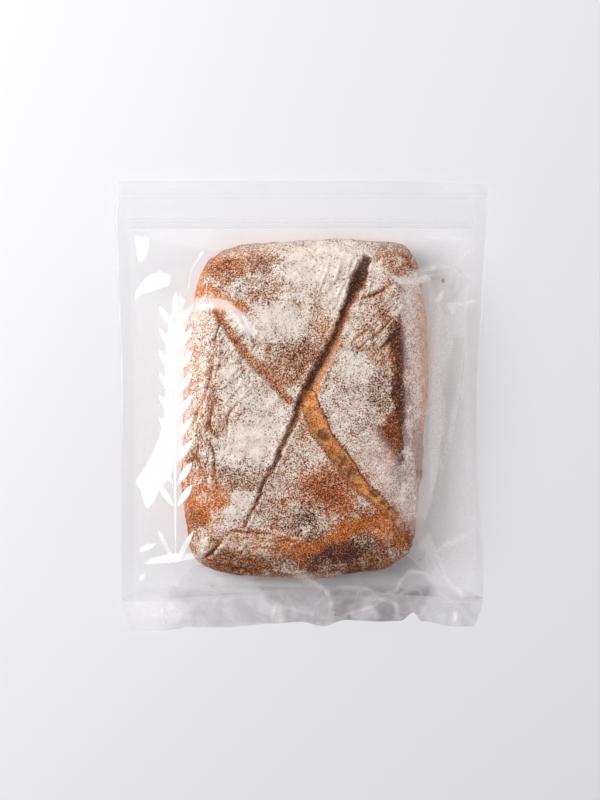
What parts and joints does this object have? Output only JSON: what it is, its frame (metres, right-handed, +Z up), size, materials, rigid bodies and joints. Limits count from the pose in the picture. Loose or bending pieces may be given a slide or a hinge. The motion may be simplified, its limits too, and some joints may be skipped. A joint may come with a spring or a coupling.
{
  "type": "loaf of rustic bread in a clear zip pouch",
  "caption": "Rectangular floured rustic loaf with a crossed score, shut in a clear press-to-close pouch with a bottom gusset, lying flat.",
  "frame": {"origin": "middle of the pouch's outline, on the surface it lies on", "axes": "+X across the pouch to the right, +Y along it from the gusset to the zip, +Z up out of the front film"},
  "size_m": [0.3, 0.3627, 0.0452],
  "materials": {
    "clear_film": "thin clear glossy film with a slight haze, soft folds and crisp welded edges",
    "zip_strip": "translucent extruded strip with fine ribs, crushed flat at its welded ends",
    "crust": "stands in for baked crust: matte, floured, with burnt and orange-brown patches and a fine grain",
    "print": "thin opaque white ink on the film"
  },
  "bodies": {
    "root": {"bag": "clear_film", "zip_track": "zip_strip"}
  },
  "joints": []
}
